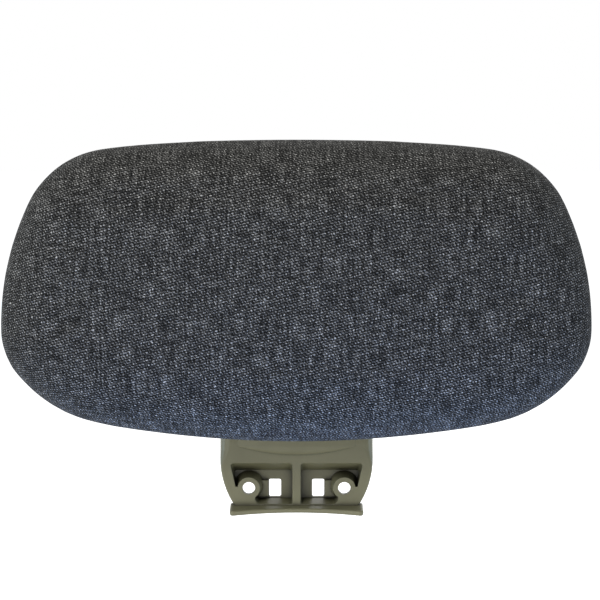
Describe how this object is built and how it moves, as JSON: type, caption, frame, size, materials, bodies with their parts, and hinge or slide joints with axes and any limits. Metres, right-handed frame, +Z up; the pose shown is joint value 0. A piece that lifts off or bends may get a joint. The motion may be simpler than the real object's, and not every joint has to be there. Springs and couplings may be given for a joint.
{
  "type": "office chair headrest",
  "caption": "Padded head cushion for an office chair on a friction tilt hinge, carried by a moulded bracket with screw bosses and a hook lip.",
  "frame": {"origin": "on the flat front of the bracket's central rib, midway between the two fixing holes", "axes": "+X to the right across the chair, the cushion faces -Y, +Z up"},
  "size_m": [0.2952, 0.1, 0.1939],
  "materials": {
    "bracket_plastic": "moulded, fine texture, semi-matt",
    "bush_acetal": "smooth",
    "friction_fibre": "fibre",
    "cover_cloth": "charcoal melange weave",
    "foam": "open-cell foam",
    "board": "plain plywood",
    "shell_plastic": "moulded, fine texture, semi-matt",
    "hinge_plastic": "glass-filled nylon",
    "zinc": "zinc plated",
    "steel": "bright steel"
  },
  "bodies": {
    "bracket": {"mount_bracket": "bracket_plastic", "hub_bush_left": "bush_acetal", "hub_bush_right": "bush_acetal", "friction_washer_left": "friction_fibre", "friction_washer_right": "friction_fibre"},
    "cushion": {"fabric_cover": "cover_cloth", "foam_cushion": "foam", "insert_board": "board", "back_shell": "shell_plastic", "hinge_base": "hinge_plastic", "tee_nut_1": "zinc", "tee_nut_2": "zinc", "tee_nut_3": "zinc", "tee_nut_4": "zinc", "hinge_bolt_1": "steel", "hinge_bolt_2": "steel", "hinge_bolt_3": "steel", "hinge_bolt_4": "steel", "shell_screw_1": "zinc", "shell_screw_2": "zinc", "shell_screw_3": "zinc", "shell_screw_4": "zinc", "shell_screw_5": "zinc", "shell_screw_6": "zinc", "hinge_cap_left": "hinge_plastic", "hinge_cap_right": "hinge_plastic", "pivot_bolt": "steel", "lock_nut": "steel", "disc_spring": "steel"}
  },
  "joints": [
    {"name": "cushion_tilt", "type": "hinge", "parent": "bracket", "child": "cushion", "pos_m": [0, 0.022, 0.093], "axis": [1, 0, 0], "range_deg": [-35, 10]}
  ]
}
